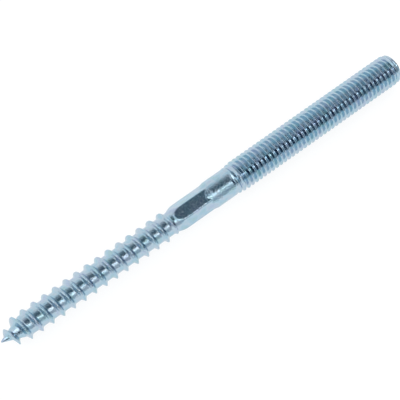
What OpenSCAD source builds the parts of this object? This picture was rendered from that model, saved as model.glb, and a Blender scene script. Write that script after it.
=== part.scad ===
// Hanger bolt M8: a wood screw thread with a gimlet point at one end, a metric thread at the other, and a
// pressed hexagon between them, by which a spanner turns it into the wood.
// It is one piece, cold formed and rolled from steel wire and then zinc plated.
// All sizes are in millimetres. The bolt lies on its metric thread along X, with the point towards -X.

/* [Metric thread] */
// Outer diameter of the metric thread
metric_d = 7.87; // [7.4:0.01:10]
// Distance between neighbouring turns
metric_pitch = 1.25; // [1:0.05:1.5]
// Length of the metric thread, with its run-out and its rounded end
metric_l = 51.4; // [20:0.1:60]
// Length of the run-out, over which the thread grows out of the shank
runout_l = 2.6; // [1:0.1:8]
// Diameter of the flat on the end
end_flat_d = 6.2; // [3:0.1:7]
// Length over which the end is rounded
end_round_l = 2.2; // [0.5:0.1:6]
// Angle at which the helix passes the point's own plane, from the middle of the first flat
metric_turn_angle = 148; // [0:1:360]

/* [Shank] */
// Diameter of the plain shank, the wire that the metric thread was rolled on
shank_d = 7.05; // [6.8:0.05:7.3]
// Length of the plain shank
shank_l = 6.1; // [1:0.1:60]

/* [Hexagon] */
// Width across the flats, for a 6 mm spanner
hex_flats_w = 5.85; // [5.4:0.05:6.2]
// Width across the rounded corners
hex_corners_w = 6.6; // [6.3:0.05:6.8]
// Length from the end of the shoulder to the start of the shank
hex_l = 8.5; // [6:0.1:25]
// Slope of the cone between the flats and the shank, in degrees from the axis
hex_cone_angle = 14.5; // [10:0.5:40]
// Length of the shoulder between the wood screw's core and the hexagon
shoulder_l = 4.2; // [1:0.1:10]

/* [Wood thread] */
// Outer diameter of the wood thread
wood_d = 6.9; // [6.2:0.05:9]
// Diameter of the core
core_d = 5.3; // [4:0.05:5.6]
// Length from the point to the start of the shoulder
wood_l = 47.4; // [15:0.1:60]
// Distance between neighbouring turns
wood_pitch = 3; // [2.4:0.05:5]
// Width of the thread at the core
thread_base_w = 2; // [1:0.05:2.2]
// Width of the thread at its crest
thread_crest_w = 0.24; // [0.1:0.01:0.6]
// Angle at which the helix passes the point's own plane, from the middle of the first flat
wood_turn_angle = 240; // [0:1:360]

/* [Point] */
// Length of the cone that the core ends in
point_l = 6.4; // [4:0.05:12]
// Radius of the blunt tip
tip_r = 0.22; // [0.05:0.01:0.5]
// Bare length of the point, ahead of the thread
point_bare_l = 0.8; // [0.5:0.05:2]
// Distance from the point at which the thread has its full diameter
point_thread_l = 5.8; // [4:0.1:14]

/* [Lying] */
// Turn of the bolt about its own axis as it lies
roll_angle = 14.5; // [0:0.5:360]

/* [Hidden] */

metric_r = metric_d / 2;
shank_r = shank_d / 2;
end_flat_r = end_flat_d / 2;
hex_flat_r = hex_flats_w / 2;
hex_corner_r = hex_corners_w / 2;
wood_r = wood_d / 2;
core_r = core_d / 2;

// Places along the axis, from the point
hex_z = wood_l + shoulder_l;
shank_z = hex_z + hex_l;
metric_z = shank_z + shank_l;
bolt_l = metric_z + metric_l;

// Facets round the turned shapes, and steps in their curves
round_facets = 96;
curve_steps = 8;
// How far solids reach into each other where they are joined
overlap = 0.2;

// The metric thread's standard section: flanks lean 30 degrees, and the crest is an eighth of the pitch wide
flank_angle = 30;
metric_root_r = metric_r - 0.6134 * metric_pitch;
metric_crest_w = metric_pitch / 8;
metric_root_w = metric_pitch - metric_crest_w - 2 * (metric_r - metric_root_r) * tan(flank_angle);
// Steps in one turn of the groove, and the radius at which its straight steps stay clear of the rod
groove_steps = 18;
groove_clearance = 0.015;
groove_top_r = metric_r / cos(180 / groove_steps) + groove_clearance;

// Steps in one turn of the wood thread
wood_steps = 22;
// Depth of the wood thread's foot below the core's surface, and its least radius, at the tip
foot_depth = 0.25;
foot_least_r = 0.05;
// How far the flanks' lower edge lies in the core
flank_sink = 0.04;
// Turns over which the wood thread grows behind the point and fades at the shoulder
fade_turns = 0.4;
// Share of its full width that the section starts with
start_w = 0.3;
// How far the wood thread reaches onto the shoulder
shoulder_reach = 0.8;
wood_end_z = wood_l + shoulder_reach;
// Half of the hollow section: distance from the middle as a share of half the width, share of the height
thread_half = [[1, 0], [0.55, 0.28], [thread_crest_w / thread_base_w, 1]];

function clamp01(t) = min(1, max(0, t));

// A curve from 0 to 1 that leaves and arrives level
function ease(t) = let (c = clamp01(t)) c * c * (3 - 2 * c);

// A point at a radius and an angle about the axis, and at a distance z from the bolt's point
function around(r, angle, z) = [r * cos(angle), r * sin(angle), z];

// Radius of the core and its shoulder at a distance z from the point
function core_at(z) =
    z < point_l ? tip_r + (core_r - tip_r) * (z - tip_r) / (point_l - tip_r)
    : core_r + (hex_corner_r - core_r) * ease((z - wood_l) / shoulder_l);

// Radius that the wood thread's crest reaches at a distance z from the point
function crest_at(z) = max(core_at(z), wood_r * (1 - pow(1 - clamp01(z / point_thread_l), 2)));

// How far the wood thread has grown at a distance z from the point, from 0 to 1
function growth_at(z) =
    ease((z - point_bare_l) / (fade_turns * wood_pitch))
    * ease((wood_end_z - z) / (fade_turns * wood_pitch));

hanger_bolt();

module hanger_bolt() {
    color("LightSteelBlue")
        translate([-bolt_l / 2, 0, metric_r])
            rotate([0, 90, 0])
                rotate([0, 0, roll_angle]) {
                    intersection() {
                        wood_blank();
                        hexagon_bar();
                    }
                    wood_thread();
                    difference() {
                        metric_blank();
                        metric_groove();
                    }
                }
}

// The core with its cone and its shoulder, round all along
module wood_blank() {
    top_z = shank_z - (shank_r - hex_corner_r) / tan(hex_cone_angle) + overlap;
    shoulder = [for (i = [0:curve_steps])
        let (z = wood_l + shoulder_l * i / curve_steps) [core_at(z), z]];
    rotate_extrude($fn = round_facets)
        polygon(concat(
            [[0, 0], [tip_r, tip_r], [core_r, point_l]],
            shoulder,
            [[hex_corner_r, top_z], [0, top_z]]));
}

// A bar with the hexagon's flats, which leaves the thinner core untouched
module hexagon_bar() {
    rotate([0, 0, 30])
        translate([0, 0, -overlap])
            cylinder(h = shank_z + overlap, r = hex_flat_r / cos(30), $fn = 6);
}

// The cone behind the flats, the shank, and the rod of the metric thread with its rounded end
module metric_blank() {
    cone_r = hex_flat_r - overlap;
    cone_z = shank_z - (shank_r - cone_r) / tan(hex_cone_angle);
    rounding = [for (i = [0:curve_steps])
        let (a = 90 * i / curve_steps)
        [end_flat_r + (metric_r - end_flat_r) * cos(a), bolt_l - end_round_l * (1 - sin(a))]];
    rotate_extrude($fn = round_facets)
        polygon(concat(
            [[0, cone_z], [cone_r, cone_z], [shank_r, shank_z], [shank_r, metric_z],
             [metric_r, metric_z + runout_l]],
            rounding,
            [[0, bolt_l]]));
}

// The space between the metric thread's turns, from above the shank to past the end
module metric_groove() {
    turns = (metric_l + metric_pitch) / metric_pitch;
    steps = ceil(turns * groove_steps);
    carried([for (i = [0:steps]) groove_section(metric_z + i * metric_pitch / groove_steps)]);
}

// One section of the groove, which sinks to its full depth over the run-out
function groove_section(z) =
    let (
        turn = 360 * z / metric_pitch + metric_turn_angle + 180,
        start_r = shank_r + overlap / 4,
        root_r = start_r + (metric_root_r - start_r) * clamp01((z - metric_z) / runout_l),
        root_half = metric_root_w / 2,
        top_half = root_half + (groove_top_r - root_r) * tan(flank_angle)
    )
    [around(root_r, turn, z - root_half), around(groove_top_r, turn, z - top_half),
     around(groove_top_r, turn, z + top_half), around(root_r, turn, z + root_half)];

// The wood thread, with its foot inside the core
module wood_thread() {
    steps = ceil((wood_end_z - point_bare_l) / wood_pitch * wood_steps);
    carried([for (i = [0:steps])
        thread_section(point_bare_l + (wood_end_z - point_bare_l) * i / steps)]);
}

// One section of the wood thread, which follows the core's surface and grows and fades with its height
function thread_section(z) =
    let (
        turn = 360 * z / wood_pitch + wood_turn_angle,
        growth = growth_at(z),
        height = growth * (crest_at(z) - core_at(z)),
        half_w = thread_base_w / 2 * (start_w + (1 - start_w) * growth),
        flank = [for (p = thread_half)
            let (away = p[0] * half_w)
            [away, p[1] * height - flank_sink * (1 - p[1])]]
    )
    concat(
        [foot_point(z - half_w, turn)],
        [for (f = flank) around(core_at(z - f[0]) + f[1], turn, z - f[0])],
        [for (i = [len(flank) - 1:-1:0])
            let (f = flank[i]) around(core_at(z + f[0]) + f[1], turn, z + f[0])],
        [foot_point(z + half_w, turn)]);

// A corner of the wood thread's section, inside the core
function foot_point(z, turn) = around(max(foot_least_r, core_at(z) - foot_depth), turn, z);

// A solid carried through a row of sections with equally many corners
module carried(sections) {
    count = len(sections[0]);
    last = len(sections) - 1;
    sides = [for (i = [0:last - 1], k = [0:count - 1])
        let (a = i * count + k, b = i * count + (k + 1) % count)
        [a, b, b + count, a + count]];
    first_cap = [for (k = [count - 1:-1:0]) k];
    last_cap = [for (k = [0:count - 1]) last * count + k];
    polyhedron(points = [for (s = sections) each s], faces = concat(sides, [first_cap, last_cap]));
}
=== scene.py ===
# %% [markdown]
# # A zinc plated hanger bolt
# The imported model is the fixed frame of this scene. It holds one solid, the bolt, lying on its metric thread
# along X, with its gimlet point towards -X. Both threads are true helices in the solid, in plain straight
# steps. This script makes one finer and rounder surface of the same form, gives it the look of bright zinc,
# and lights it as a small product on a pale table.

# %% Load the frame
import math

import bpy
import numpy as np
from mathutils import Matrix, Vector


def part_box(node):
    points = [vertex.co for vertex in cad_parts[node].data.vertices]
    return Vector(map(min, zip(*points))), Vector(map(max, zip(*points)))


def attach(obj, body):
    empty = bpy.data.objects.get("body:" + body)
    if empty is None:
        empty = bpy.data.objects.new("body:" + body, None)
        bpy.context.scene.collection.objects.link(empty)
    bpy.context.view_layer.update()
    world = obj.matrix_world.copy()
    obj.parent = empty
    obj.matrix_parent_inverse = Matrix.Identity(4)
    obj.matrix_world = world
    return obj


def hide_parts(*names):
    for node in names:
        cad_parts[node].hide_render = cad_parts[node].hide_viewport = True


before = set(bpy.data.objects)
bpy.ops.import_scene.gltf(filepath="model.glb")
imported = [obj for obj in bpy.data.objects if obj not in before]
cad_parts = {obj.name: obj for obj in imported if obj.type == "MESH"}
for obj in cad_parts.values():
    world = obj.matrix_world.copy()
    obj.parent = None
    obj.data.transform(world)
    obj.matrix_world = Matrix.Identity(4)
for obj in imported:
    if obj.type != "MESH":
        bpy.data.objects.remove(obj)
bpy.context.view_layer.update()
NODE = "hanger_bolt"
low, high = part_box(NODE)
print("bolt box in mm:", [round(1000 * (b - a), 2) for a, b in zip(low, high)])

# %% [markdown]
# ## Places along the bolt
# A hanger bolt is one wire with a wood thread, a pressed hexagon, a plain shank and a metric thread in turn.
# The frame gives its overall length and the outer radius of the metric thread. The other sizes are those of
# the solid, so that the finer surface lies on it, and each is written where it is first needed. Places along
# the axis are counted from the point. Four fine forms differ from the solid by a few tenths of a millimetre:
# the wood thread fades more slowly, the shoulder rises within a shorter length, the dies that roll the metric
# thread touch the shank a little earlier, and the roots of that thread are round.

# %% Lengths and pitches
MM = 0.001
bolt_l = high.x - low.x
axis_height = (low.z + high.z) / 2
metric_r = min(high.y - low.y, high.z - low.z) / 2

wood_l = 47.4 * MM
shoulder_l = 4.2 * MM
hexagon_l = 8.5 * MM
shank_l = 6.1 * MM
shank_start = wood_l + shoulder_l + hexagon_l
metric_start = shank_start + shank_l
dies_start = metric_start - 0.6 * MM
dies_full = metric_start + 2.4 * MM

wood_pitch = 3.0 * MM
wood_turn = 240 / 360
metric_pitch = 1.25 * MM
metric_turn = 148 / 360
print(f"bolt {bolt_l / MM:.2f} mm long, {2 * metric_r / MM:.3f} mm thick, axis {axis_height / MM:.3f} mm up")


# %% A smooth step
def ease(t):
    """A curve from 0 to 1 that leaves and arrives level: 3 t squared minus 2 t cubed, held at its ends."""
    t = np.clip(t, 0.0, 1.0)
    return t * t * (3.0 - 2.0 * t)


print("the smooth step at a quarter, a half and three quarters:", ease(np.array([0.25, 0.5, 0.75])))

# %% [markdown]
# ## Rows that follow the threads
# A thread on a plain grid of rings and lines would cut across the cells, and its crest would look beaded.
# A profile carried along a helix and joined to the rod would leave a hard seam at its foot. So every row of
# the grid is a strand that climbs one pitch in each turn, and a crest is one strand all the way along. Each
# turn holds the same number of strands, from the point to the metric end. Only their climb changes: 3 mm a
# turn on the wood thread, 1.25 mm on the metric thread, and a smooth change between them.

# %% Strands beside the crest
wood_offsets = np.array([0.12, 0.3, 0.53, 0.74, 0.78, 0.81]) * MM
metric_offsets = np.array([0.05, 0.085, 0.12, 0.5, 0.53, 0.58]) * MM
STRANDS = 2 + 2 * len(wood_offsets)


def about_crest(half_offsets, pitch):
    """Distances of one turn's strands from the crest.

    The middle of the root comes first, half a pitch behind, then the strands up one flank, the crest itself
    at nought, and the strands down the other flank.
    """
    return np.concatenate([[-pitch / 2], -half_offsets[::-1], [0.0], half_offsets])


wood_strands = about_crest(wood_offsets, wood_pitch)
metric_strands = about_crest(metric_offsets, metric_pitch)
even_strands = (np.arange(STRANDS) - STRANDS / 2) / STRANDS
print(f"{STRANDS} strands in a turn, the first {-wood_strands[0] / MM:.2f} mm behind the wood thread's crest")

# %% The climb from the wood thread to the metric thread
WHOLE_TURNS_BETWEEN = 8
change_start = wood_l + 0.4 * MM
change_end = dies_start - 1.0 * MM
turns_at_change = change_start / wood_pitch + wood_turn
metric_phase = change_end / metric_pitch + metric_turn
part_turn = metric_phase - math.floor(metric_phase)
turns_at_metric = part_turn + math.floor(turns_at_change) + WHOLE_TURNS_BETWEEN
change_turns = turns_at_metric - turns_at_change


def crest_place(turns):
    """Distance from the point along the axis after a number of turns.

    Straight lines on the two threads, and between them the cubic that leaves and arrives at their climbs.
    """
    t = np.clip((turns - turns_at_change) / change_turns, 0.0, 1.0)
    cubic = (
        (2 * t**3 - 3 * t**2 + 1) * change_start
        + (t**3 - 2 * t**2 + t) * change_turns * wood_pitch
        + (3 * t**2 - 2 * t**3) * change_end
        + (t**3 - t**2) * change_turns * metric_pitch
    )
    on_wood = change_start + (turns - turns_at_change) * wood_pitch
    on_metric = change_end + (turns - turns_at_metric) * metric_pitch
    return np.where(turns < turns_at_change, on_wood, np.where(turns > turns_at_metric, on_metric, cubic))


def strand_offset(turns, strand):
    """Distance of each strand from the crest.

    A sum of three spacings by their shares: the wood thread's, whose share fades in the first turn of the
    change, the metric thread's, whose share grows in the last one, and for the rest an even one.
    """
    wood_share = 1 - ease(turns - turns_at_change)
    metric_share = ease(turns - (turns_at_metric - 1))
    local_pitch = crest_place(turns + 0.5) - crest_place(turns - 0.5)
    even = even_strands[strand] * local_pitch
    return (
        wood_share * wood_strands[strand]
        + metric_share * metric_strands[strand]
        + (1 - wood_share - metric_share) * even
    )


print(f"{change_turns:.2f} turns of change, from {change_start / MM:.1f} to {change_end / MM:.1f} mm")

# %% The whole grid
COLUMNS = 96
# The strands start before the point and go on past the end, so that both are reached all round
FIRST_TURN = -1
SPARE_TURNS = 2
last_turn = math.ceil(turns_at_metric + (bolt_l - change_end) / metric_pitch) + SPARE_TURNS
rows = (last_turn - FIRST_TURN) * STRANDS
row = np.arange(rows)
strand = np.broadcast_to((row % STRANDS)[:, None], (rows, COLUMNS))
turns = FIRST_TURN + (row // STRANDS)[:, None] + np.arange(COLUMNS)[None, :] / COLUMNS
place = crest_place(turns) + strand_offset(turns, strand)
angle = 2 * math.pi * turns
z = np.clip(place, 0.0, bolt_l)
print(f"{rows} strands of {COLUMNS} steps, from {place.min() / MM:.1f} to {place.max() / MM:.1f} mm")

# %% [markdown]
# ## The bare bolt
# Without its threads the bolt is a turned shape: the cone of the point, the core, a shoulder, and the shank.
# The hexagon is pressed into it. It could be cut from the round bar by six boolean planes, but a radius for
# every place and angle gives the same form on the strands that the threads need. The surface is the nearer to
# the axis of the round bar and the flats, and a cone leads from the flats out to the shank.

# %% The radius without threads
tip_r = 0.22 * MM
point_l = 6.4 * MM
core_r = 2.65 * MM
shoulder_from = wood_l + 1.2 * MM
shoulder_to = wood_l + 4.0 * MM
hex_flat_r = 2.925 * MM
hex_corner_r = 3.3 * MM
hex_cone_slope = math.tan(math.radians(14.5))
shank_r = 3.525 * MM


def bare_radius(z, turn_angle):
    """Radius of the bolt before rolling, at a place and an angle.

    The point rises at 45 degrees to its blunt tip's radius, then in a straight line to the core. The shoulder
    climbs by one minus the square of the share that is still ahead. A flat at distance f from the axis has
    the radius f over the cosine of the angle from its middle. The cone has the shank's radius less its slope
    times the distance to the shank, and the larger radius holds.
    """
    cone = tip_r + (core_r - tip_r) * (np.clip(z, tip_r, point_l) - tip_r) / (point_l - tip_r)
    point = np.minimum(cone, z)
    ahead = 1 - np.clip((z - shoulder_from) / (shoulder_to - shoulder_from), 0.0, 1.0)
    shoulder = (hex_corner_r - core_r) * (1 - ahead**2)
    from_flat = (turn_angle + math.pi / 6) % (math.pi / 3) - math.pi / 6
    pressed = np.minimum(point + shoulder, hex_flat_r / np.cos(from_flat))
    run_up = shank_r - np.maximum(shank_start - z, 0.0) * hex_cone_slope
    return np.maximum(pressed, run_up)


radius = bare_radius(z, angle)
print(f"bare bolt up to {radius.max() / MM:.3f} mm from the axis")

# %% [markdown]
# ## The wood thread
# A wood thread has a narrow crest and hollow flanks, which run out level on the core. Its height is added to
# the core's radius, so thread and core are one skin with no seam to hide. It grows in a curve from the bare
# point to the full diameter, and it fades within a turn at the shoulder.

# %% The height of the wood thread
FLANK_POWER = 1.25
crest_half = wood_offsets[0]
base_half = wood_offsets[-2]
wood_r = 3.45 * MM
point_bare_l = 0.8 * MM
point_thread_l = 5.8 * MM
wood_end = wood_l + 2.4 * MM
# Turns in which the thread grows and fades, and the share of its full width that it starts with
grow_turns = 0.4
fade_turns = 1.0
start_w = 0.3


def wood_height(z, strand):
    """Height of the wood thread above the core.

    One at the crest, and beside it the flank's share of the way from base to crest, raised to a power that
    makes the flank hollow. The whole is scaled by the room between the core and the outer curve, and by how
    far the thread has grown, which also widens its foot.
    """
    from_crest = np.abs(wood_strands[strand])
    outer = wood_r * (1 - (1 - np.clip(z / point_thread_l, 0.0, 1.0)) ** 2)
    room = np.maximum(outer - core_r * np.clip(z / point_l, 0.0, 1.0), 0.0)
    grown = ease((z - point_bare_l) / (grow_turns * wood_pitch))
    grown = grown * ease((wood_end - z) / (fade_turns * wood_pitch))
    foot = base_half * (start_w + (1 - start_w) * grown)
    share = np.clip((foot - from_crest) / (foot - crest_half), 0.0, 1.0) ** FLANK_POWER
    return share * room * grown


height = wood_height(z, strand)
radius = radius + height
print(f"wood thread up to {height.max() / MM:.3f} mm above the core")

# %% [markdown]
# ## The metric thread
# The section is the standard one: flanks at 60 degrees to each other, a crest an eighth of the pitch wide and
# a rounded root. It could be a groove cut by a boolean, as in the solid, but rolling pushes the metal out as
# well as in. So over the run-out the crest climbs above the shank while the root sinks below it, which one
# formula for the radius can say. The dies leave a fine edge where they first touch the shank.

# %% The section of the metric thread
# Half the width of the crest, and the angle of each flank from the plane across the axis
crest_edge = metric_pitch / 16
flank_slope = math.radians(30)
root_round_r = 0.1 * metric_pitch
sharp_depth = (metric_pitch / 2 - crest_edge) / math.tan(flank_slope)
root_centre = sharp_depth - 2 * root_round_r
metric_root_r = metric_r - root_centre - root_round_r


def metric_depth(strand):
    """Depth of the metric thread's section below its crest.

    The flank falls by its distance from the crest's edge over the tangent of 30 degrees. The root is an arc
    about a centre on the middle of the groove.
    """
    from_crest = np.abs(metric_strands[strand])
    flank = np.maximum(from_crest - crest_edge, 0.0) / math.tan(flank_slope)
    from_root = metric_pitch / 2 - from_crest
    arc = root_centre + np.sqrt(np.maximum(root_round_r**2 - from_root**2, 0.0))
    return np.where(from_root < root_round_r * math.cos(flank_slope), arc, flank)


print(f"metric root {metric_root_r / MM:.3f} mm in radius, rounded by {root_round_r / MM:.3f} mm")

# %% The run-out of the metric thread
# Share of its depth that the groove has at once, and the length in which it takes that share
FIRST_BITE = 0.15
FIRST_BITE_L = 0.15 * MM


def metric_radius(z, strand):
    """Radius on the metric thread, with its run-out.

    The rod grows from the shank in a straight line. The groove keeps its full width and takes a growing share
    of its full depth: a small share at once, and the rest in a straight line.
    """
    run = np.clip((z - dies_start) / (dies_full - dies_start), 0.0, 1.0)
    at_once = FIRST_BITE * ease((z - dies_start) / FIRST_BITE_L)
    rod = shank_r + (metric_r - shank_r) * run
    return rod - (at_once + (1 - FIRST_BITE) * run) * metric_depth(strand)


radius = np.where(z > dies_start, metric_radius(z, strand), radius)
print(f"with the metric thread up to {radius.max() / MM:.3f} mm from the axis")

# %% [markdown]
# ## The rounded end
# The metric end is rounded, so that a nut finds its way on. A bevel would have to follow every turn of the
# thread. Here the end is a limit on the radius instead, so it takes the same curve off crests and grooves.

# %% The radius at the end
end_flat_r = 3.1 * MM
end_round_l = 2.2 * MM


def end_rounding(z):
    """Radius of the rounded end: a quarter of an ellipse from the outer diameter to the flat on the end."""
    along = np.clip((z - (bolt_l - end_round_l)) / end_round_l, 0.0, 1.0)
    return end_flat_r + (metric_r - end_flat_r) * np.sqrt(1 - along**2)


radius = np.minimum(radius, end_rounding(z))
print(f"rounded over {end_round_l / MM:.1f} mm to a flat of {end_flat_r / MM:.1f} mm in radius")

# %% [markdown]
# ## From the grid to a closed mesh
# Strands that reach past the point meet in one vertex at its tip, and those that reach past the end meet on
# the rim of the end's flat. A boolean could cut the grid off at its ends too, but with shared vertices the
# mesh is closed from the start, and only the triangles that they flatten to nothing are left out. The flat
# itself is a few rings about a middle vertex.

# %% Number the vertices
def shared_numbers(place):
    """The number of each grid point's vertex, and which points have one of their own.

    Nought at the tip, 1 and up round the rim, and then one number for each inner point.
    """
    number = np.zeros(place.shape, int)
    inner = (place > 0) & (place < bolt_l)
    number[inner] = 1 + COLUMNS + np.arange(inner.sum())
    rim = np.broadcast_to(1 + np.arange(COLUMNS), place.shape)
    return np.where(place >= bolt_l, rim, number), inner


number, inner = shared_numbers(place)
print(f"{inner.sum()} inner vertices, {COLUMNS} on the rim and one at the tip")


# %% Join neighbouring strands
def strand_triangles(number):
    """Two triangles for each cell between two strands and two columns.

    After the last column a strand goes on as the one that lies a turn further. Cells past the last turn
    hold a -1 and are left out, and so are triangles with two equal corners.
    """
    after = np.vstack([number[STRANDS:, :1], np.full((STRANDS, 1), -1)])
    wide = np.hstack([number, after])
    a, b, c, d = wide[:-1, :-1], wide[:-1, 1:], wide[1:, 1:], wide[1:, :-1]
    cells = np.stack([np.stack([a, b, c], -1), np.stack([a, c, d], -1)])
    cells = cells.reshape(-1, 3)
    whole = (cells >= 0).all(1)
    distinct = (cells[:, 0] != cells[:, 1]) & (cells[:, 1] != cells[:, 2]) & (cells[:, 2] != cells[:, 0])
    return cells[whole & distinct]


triangles = [strand_triangles(number)]
print(f"{len(triangles[0])} triangles between the strands")

# %% Places in the room
roll_angle = math.radians(14.5)
FACE_RINGS = (0.8, 0.45)


def bolt_point(z, radius, turn_angle):
    """A place in the room from one on the bolt.

    The axis lies along X. At no roll the first flat faces down, and Y and Z are the radius times the sine
    and minus the cosine of the turned angle.
    """
    turned = turn_angle + roll_angle
    return np.stack(
        [z - bolt_l / 2, radius * np.sin(turned), axis_height - radius * np.cos(turned)], -1
    )


rim_angle = 2 * math.pi * np.arange(COLUMNS) / COLUMNS


def end_ring(ring_r):
    """A ring of vertices on the end's flat, one for each column, at a radius."""
    return bolt_point(np.full(COLUMNS, bolt_l), np.full(COLUMNS, ring_r), rim_angle)


tip = bolt_point(np.zeros(1), np.zeros(1), np.zeros(1))
surface = bolt_point(z, radius, angle)[inner]
rings = [end_ring(share * end_flat_r) for share in FACE_RINGS]
middle = bolt_point(np.full(1, bolt_l), np.zeros(1), np.zeros(1))
vertices = np.vstack([tip, end_ring(end_flat_r), surface, *rings, middle])
print(f"{len(vertices)} vertices, {len(rings)} rings on the flat of the end")

# %% Close the flat of the end
face_start = 1 + COLUMNS + len(surface)
ring_numbers = [1 + np.arange(COLUMNS)]
ring_numbers += [face_start + i * COLUMNS + np.arange(COLUMNS) for i in range(len(rings))]
for outer, nearer in zip(ring_numbers, ring_numbers[1:]):
    outer_next, nearer_next = np.roll(outer, -1), np.roll(nearer, -1)
    triangles += [np.stack([outer, outer_next, nearer_next], -1), np.stack([outer, nearer_next, nearer], -1)]
last_ring = ring_numbers[-1]
triangles.append(np.stack([last_ring, np.roll(last_ring, -1), np.full(COLUMNS, len(vertices) - 1)], -1))
triangles = np.vstack(triangles)
print(f"{len(triangles)} triangles with the flat")


# %% The mesh of the bolt
def mesh_piece(name, vertices, triangles):
    """A smooth-shaded object from arrays, with its place in its mesh."""
    mesh = bpy.data.meshes.new(name)
    mesh.vertices.add(len(vertices))
    mesh.vertices.foreach_set("co", vertices.ravel())
    mesh.loops.add(triangles.size)
    mesh.loops.foreach_set("vertex_index", triangles.ravel())
    mesh.polygons.add(len(triangles))
    mesh.polygons.foreach_set("loop_start", np.arange(0, triangles.size, 3))
    mesh.polygons.foreach_set("use_smooth", np.ones(len(triangles), bool))
    mesh.update()
    mesh.validate()
    piece = bpy.data.objects.new(name, mesh)
    bpy.context.scene.collection.objects.link(piece)
    return piece


bolt = mesh_piece("bolt_surface", vertices, triangles)
edges = len(bolt.data.edges)
print(f"{edges} edges, each between two triangles: {2 * edges == 3 * len(bolt.data.polygons)}")

# %% [markdown]
# ## Bright zinc
# The bolt is zinc plated and blue passivated: a thin bright metal coat that mirrors the room, with a cool
# tint that wanders a little between teal, pale blue and lavender. It could be painted with a picture, but a
# picture would need a seam along the bolt. Noise on Object coordinates has none and stays on the metal. A
# metallic shader gives the mirror, a soft noise its colour and a finer one its roughness. Three bumps make it
# less than perfect: faint lines along the wire, a speckle, and the ripple that rolling and plating leave. The
# rolled metric thread is smoother than the rest.

# %% Helpers for node materials
def new_material(name):
    """A node material with its node tree and its main shader."""
    material = bpy.data.materials.new(name)
    material.use_nodes = True
    return material, material.node_tree, material.node_tree.nodes["Principled BSDF"]


def add_node(tree, kind, **inputs):
    """A node of a kind, with values or links for its inputs. Underscores in the names stand for spaces."""
    node = tree.nodes.new(kind)
    for key, value in inputs.items():
        socket = node.inputs[key.replace("_", " ")]
        if isinstance(value, bpy.types.NodeSocket):
            tree.links.new(value, socket)
        else:
            socket.default_value = value
    return node


def noise_of(tree, where, size, detail):
    """Noise with features of about a size in metres, from 0 to 1: its scale is one over that size."""
    return add_node(tree, "ShaderNodeTexNoise", Vector=where, Scale=1 / size, Detail=detail).outputs["Fac"]


def ramp_of(tree, factor, stops):
    """A colour ramp with (place, colour) stops."""
    ramp = add_node(tree, "ShaderNodeValToRGB", Fac=factor)
    elements = ramp.color_ramp.elements
    while len(elements) < len(stops):
        elements.new(0.5)
    while len(elements) > len(stops):
        elements.remove(elements[-1])
    for element, (place, colour) in zip(elements, stops):
        element.position, element.color = place, (*colour, 1)
    return ramp.outputs["Color"]


# %% The tint of the zinc
TEAL = (0.37, 0.54, 0.60)
BLUE = (0.38, 0.55, 0.67)
SILVER = (0.45, 0.57, 0.66)
LAVENDER = (0.42, 0.52, 0.66)
TINT_SIZE = 2.4 * MM

zinc, tree, shader = new_material("bright_zinc")
place_on_bolt = tree.nodes.new("ShaderNodeTexCoord").outputs["Object"]
tint = noise_of(tree, place_on_bolt, TINT_SIZE, detail=3.0)
tint_stops = [(0.34, TEAL), (0.45, BLUE), (0.55, SILVER), (0.66, LAVENDER)]
tree.links.new(ramp_of(tree, tint, tint_stops), shader.inputs["Base Color"])
shader.inputs["Metallic"].default_value = 1.0
print(f"{len(tint_stops)} tints in patches of about {TINT_SIZE / MM:.1f} mm")

# %% How dull the zinc is
SHARPEST = 0.08
DULLEST, DULLEST_ROLLED = 0.16, 0.11
DULL_SIZE = 0.9 * MM

along_axis = add_node(tree, "ShaderNodeSeparateXYZ", Vector=place_on_bolt).outputs["X"]
smooth_from = dies_start - bolt_l / 2
smooth_over = 3 * MM


def towards_rolled(tree, plain, rolled):
    """A value along the bolt: one on the plain metal, another on the metric thread, and a line between."""
    share = {"Value": along_axis, "From_Min": smooth_from, "From_Max": smooth_from + smooth_over}
    return add_node(tree, "ShaderNodeMapRange", **share, To_Min=plain, To_Max=rolled).outputs["Result"]


dullest = towards_rolled(tree, DULLEST, DULLEST_ROLLED)
dulling = noise_of(tree, place_on_bolt, DULL_SIZE, detail=4.0)
roughness = add_node(tree, "ShaderNodeMapRange", Value=dulling, To_Min=SHARPEST, To_Max=dullest)
tree.links.new(roughness.outputs["Result"], shader.inputs["Roughness"])
print(f"roughness {SHARPEST} to {DULLEST}, and to {DULLEST_ROLLED} on the metric thread")

# %% The bumps of the zinc
LINE_SIZE, LINE_DEPTH, LINE_STRENGTH = 0.25 * MM, 0.03 * MM, 0.4
SPECKLE_SIZE, SPECKLE_DEPTH = 0.3 * MM, 0.08 * MM
SPECKLE_STRENGTH, SPECKLE_STRENGTH_ROLLED = 0.8, 0.25
RIPPLE_SIZE, RIPPLE_DEPTH, RIPPLE_STRENGTH = 0.8 * MM, 0.06 * MM, 0.5
LINE_STRETCH = (0.08, 1, 1)


def bump_of(tree, height, strength, depth, **under):
    """The normals of a bump of a depth in metres, on those of another bump under it if one is named."""
    bump = add_node(tree, "ShaderNodeBump", Height=height, Strength=strength, Distance=depth, **under)
    return bump.outputs["Normal"]


along_wire = add_node(tree, "ShaderNodeMapping", Vector=place_on_bolt, Scale=LINE_STRETCH).outputs["Vector"]
lines = noise_of(tree, along_wire, LINE_SIZE, detail=2.0)
grain = noise_of(tree, place_on_bolt, SPECKLE_SIZE, detail=3.0)
ripple = noise_of(tree, place_on_bolt, RIPPLE_SIZE, detail=3.0)
speckle_strength = towards_rolled(tree, SPECKLE_STRENGTH, SPECKLE_STRENGTH_ROLLED)

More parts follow.
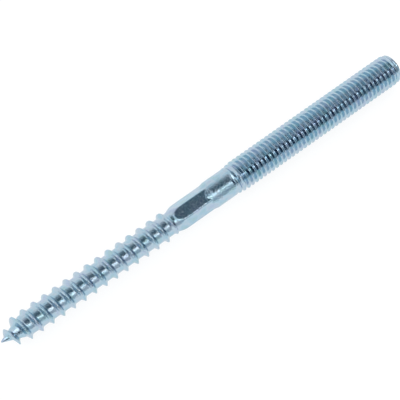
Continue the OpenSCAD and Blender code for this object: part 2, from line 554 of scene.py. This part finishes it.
drawn = bump_of(tree, lines, LINE_STRENGTH, LINE_DEPTH)
speckled = bump_of(tree, grain, speckle_strength, SPECKLE_DEPTH, Normal=drawn)
rippled = bump_of(tree, ripple, RIPPLE_STRENGTH, RIPPLE_DEPTH, Normal=speckled)
tree.links.new(rippled, shader.inputs["Normal"])
print(f"{zinc.name} has {len(tree.nodes)} nodes and three bumps")

# %% The bolt as a piece of the model
bolt.data.materials.append(zinc)
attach(bolt, "root")
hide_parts(NODE)
print(f"{bolt.name} takes the place of {NODE}, in {bolt.active_material.name}")

# %% [markdown]
# ## The cards round the bolt
# Bright metal shows what stands round it, so the room makes the picture. A surrounding picture could light
# it, but a card can be moved to the one place that a reflection asks for. Straight above hangs a dark flag,
# which gives the bolt the dark band along its top and pales towards the back. In front of it a narrow soft
# box draws the bright streak. Below the soft box a grey card keeps the near side quieter than the far one.
# The slopes of the threads look past the bolt's ends instead. A bright window beyond the point gives them
# their bright dots, dark cards beyond both ends give them their dark marks, and a pale panel keeps the
# flag's darkness out of the metric thread's turns.

# %% Boards
CARD_AWAY = 1.0


def board(name, corners):
    """A four-cornered board that is part of the room."""
    mesh = bpy.data.meshes.new(name)
    mesh.from_pydata(corners, [], [(0, 1, 2, 3)])
    piece = bpy.data.objects.new(name, mesh)
    bpy.context.scene.collection.objects.link(piece)
    return piece


def glow_across(name, y0, y1, shades):
    """A glowing material whose shades run over the share of the way from y0 to y1."""
    material = bpy.data.materials.new(name)
    material.use_nodes = True
    tree = material.node_tree
    where = tree.nodes.new("ShaderNodeTexCoord").outputs["Object"]
    across = add_node(tree, "ShaderNodeSeparateXYZ", Vector=where).outputs["Y"]
    share = add_node(tree, "ShaderNodeMapRange", Value=across, From_Min=y0, From_Max=y1)
    shade = ramp_of(tree, share.outputs["Result"], shades)
    glow = add_node(tree, "ShaderNodeEmission", Color=shade, Strength=1.0)
    tree.links.new(glow.outputs["Emission"], tree.nodes["Material Output"].inputs["Surface"])
    return material


def long_card(name, upright_angles, x_range, shades):
    """A card along the bolt that only mirrors see, with shades from its first edge to its second.

    Its long edges stand at two angles from straight up, as seen along the bolt, with the near side positive.
    Each edge lies at minus the sine and at the cosine of its angle, times the card's distance.
    """
    (y0, z0), (y1, z1) = [
        (-CARD_AWAY * math.sin(a), CARD_AWAY * math.cos(a)) for a in map(math.radians, upright_angles)
    ]
    x0, x1 = x_range
    card = board(name, [(x0, y0, z0), (x1, y0, z0), (x1, y1, z1), (x0, y1, z1)])
    card.visible_camera = card.visible_shadow = card.visible_diffuse = False
    card.data.materials.append(glow_across(name, y0, y1, shades))
    print(f"{name}: {upright_angles[0]} to {upright_angles[1]} degrees, {x1 - x0:.2f} m long")


# %% Cards above and beside the bolt
flag_shades = [
    (0.0, (0.08, 0.12, 0.15)),
    (0.45, (0.11, 0.15, 0.18)),
    (0.62, (0.26, 0.30, 0.33)),
    (0.84, (0.62, 0.66, 0.69)),
    (1.0, (0.88, 0.91, 0.94)),
]
near_shades = [(0.0, (0.66, 0.70, 0.74)), (1.0, (0.36, 0.41, 0.46))]
long_card("flag_above", upright_angles=(25, -45), x_range=(-0.3, 0.5), shades=flag_shades)
long_card("card_near", upright_angles=(49, 86), x_range=(-0.45, 0.52), shades=near_shades)

# %% Cards beyond the ends of the bolt
FAR_END = 2.0
METRIC_SIDE = 0.5
POINT_SIDE = -0.5
panel_range = (METRIC_SIDE, FAR_END)
end_range = (METRIC_SIDE, 1.5 * FAR_END)
point_range = (-2 * FAR_END, POINT_SIDE)
panel_shades = [(0.0, (0.60, 0.62, 0.64)), (0.4, (0.95, 0.97, 0.98)), (0.75, (1.35, 1.36, 1.37))]
end_shades = [(0.0, (0.0, 0.02, 0.06))]
point_shades = [(0.0, (0.02, 0.05, 0.08))]
window_shades = [(0.0, (2.2, 2.3, 2.4))]
long_card("panel_end", upright_angles=(17, -75), x_range=panel_range, shades=panel_shades)
long_card("card_end", upright_angles=(18, 84), x_range=end_range, shades=end_shades)
long_card("card_point", upright_angles=(32, 88), x_range=point_range, shades=point_shades)
long_card("window_point", upright_angles=(26, -14), x_range=(-0.8, -0.32), shades=window_shades)

# %% [markdown]
# ## The table and the walls
# To the eye and in the metal the table is white: most of that is its own glow, and the rest is light that
# falls on it, so the bolt still leaves a faint shadow. Strong lamps could whiten it too, but they would wash
# that shadow out and add hard marks to the metal. Matt surfaces don't get the glow as light. The walls are
# seen as white as well, and shed a slightly cooler light.

# %% What is seen directly
def seen_directly(tree):
    """One for what the camera, a mirror or a glass sees, and nought for light that a matt surface gathers.

    The largest of the camera ray's, the glossy ray's and the transmission ray's own ones and noughts.
    """
    rays = tree.nodes.new("ShaderNodeLightPath")
    seen = rays.outputs["Is Camera Ray"]
    for other in ("Is Glossy Ray", "Is Transmission Ray"):
        either = tree.nodes.new("ShaderNodeMath")
        either.operation = "MAXIMUM"
        tree.links.new(seen, either.inputs[0])
        tree.links.new(rays.outputs[other], either.inputs[1])
        seen = either.outputs["Value"]
    return seen


# %% The table
TABLE_HALF = 2.0
TABLE_PAINT = (0.2, 0.2, 0.2, 1)
TABLE_ROUGHNESS = 0.9
TABLE_GLOW = 0.84
WHITE = (1, 1, 1, 1)

corners = [(-TABLE_HALF, -TABLE_HALF, 0), (TABLE_HALF, -TABLE_HALF, 0)]
corners += [(TABLE_HALF, TABLE_HALF, 0), (-TABLE_HALF, TABLE_HALF, 0)]
table = board("floor", corners)
table_paint, tree, shader = new_material("table_white")
shader.inputs["Base Color"].default_value = TABLE_PAINT
shader.inputs["Roughness"].default_value = TABLE_ROUGHNESS
shader.inputs["Emission Color"].default_value = WHITE
glow = add_node(tree, "ShaderNodeMapRange", Value=seen_directly(tree), To_Min=0.0, To_Max=TABLE_GLOW)
tree.links.new(glow.outputs["Result"], shader.inputs["Emission Strength"])
table.data.materials.append(table_paint)
print(f"a table of {2 * TABLE_HALF:.0f} m, with a glow of {TABLE_GLOW}")

# %% The walls
ROOM_COLOUR = (0.90, 0.93, 0.95, 1)

walls = bpy.data.worlds.new("pale_room")
walls.use_nodes = True
tree = walls.node_tree
room_light = tree.nodes["Background"]
room_light.inputs["Color"].default_value = ROOM_COLOUR
backdrop = add_node(tree, "ShaderNodeBackground", Color=WHITE, Strength=1.0)
either = add_node(tree, "ShaderNodeMixShader", Fac=seen_directly(tree))
tree.links.new(room_light.outputs["Background"], either.inputs[1])
tree.links.new(backdrop.outputs["Background"], either.inputs[2])
tree.links.new(either.outputs["Shader"], tree.nodes["World Output"].inputs["Surface"])
bpy.context.scene.world = walls
print(f"{walls.name} sheds light of the colour {ROOM_COLOUR[:3]}")

# %% [markdown]
# ## The soft box
# The streak along the bolt is the mirror image of a long, narrow soft box, the one lamp of the room. A
# glowing card could draw the streak too, but a lamp also lights the table without grain. Its two long edges
# stand at the angles that give the streak its place and width. Its power grows with its size, so that a
# longer box looks as bright.

# %% The soft box
STREAK_FROM, STREAK_TO = math.radians(29), math.radians(46)
STREAK_BRIGHTNESS = 3.2
STREAK_L = 0.95
STREAK_MIDDLE = 0.025

lamp = bpy.data.lights.new("soft_box", "AREA")
lamp.shape = "RECTANGLE"
lamp.size = STREAK_L
lamp.size_y = 2 * CARD_AWAY * math.tan((STREAK_TO - STREAK_FROM) / 2)
lamp.energy = STREAK_BRIGHTNESS * math.pi * lamp.size * lamp.size_y
soft_box = bpy.data.objects.new("soft_box", lamp)
bpy.context.scene.collection.objects.link(soft_box)
tilt = (STREAK_FROM + STREAK_TO) / 2
soft_box.location = (STREAK_MIDDLE, -CARD_AWAY * math.sin(tilt), CARD_AWAY * math.cos(tilt))
soft_box.rotation_euler = (-tilt, 0, 0)
bpy.context.scene.view_settings.view_transform = "Standard"
print(f"soft box {lamp.size:.2f} by {lamp.size_y:.2f} m, {lamp.energy:.2f} W")

# %% [markdown]
# ## The camera
# The camera looks down on the bolt from the side of its point, and aims near its middle. A short lens would
# draw the nearer end far larger than the other one. This lens is long, so the difference is small.

# %% Camera
AIM = Vector((-1.46, 0.42, 4.11)) * MM
AIM_DISTANCE = 366.5 * MM
TURN, DOWN = math.radians(38.71), math.radians(61.26)
SENSOR, LENS = 36, 140.7
NEAREST, FARTHEST = 0.01, 10

camera_data = bpy.data.cameras.new("camera")
camera_data.sensor_width, camera_data.lens = SENSOR, LENS
camera_data.clip_start, camera_data.clip_end = NEAREST, FARTHEST
camera = bpy.data.objects.new("camera", camera_data)
bpy.context.scene.collection.objects.link(camera)
camera.rotation_euler = (math.pi / 2 - DOWN, 0, -TURN)
ahead = Vector((math.sin(TURN) * math.cos(DOWN), math.cos(TURN) * math.cos(DOWN), -math.sin(DOWN)))
camera.location = AIM - AIM_DISTANCE * ahead
bpy.context.scene.camera = camera
print(f"camera {AIM_DISTANCE / MM:.0f} mm away, {camera.location.z / MM:.0f} mm above the table")
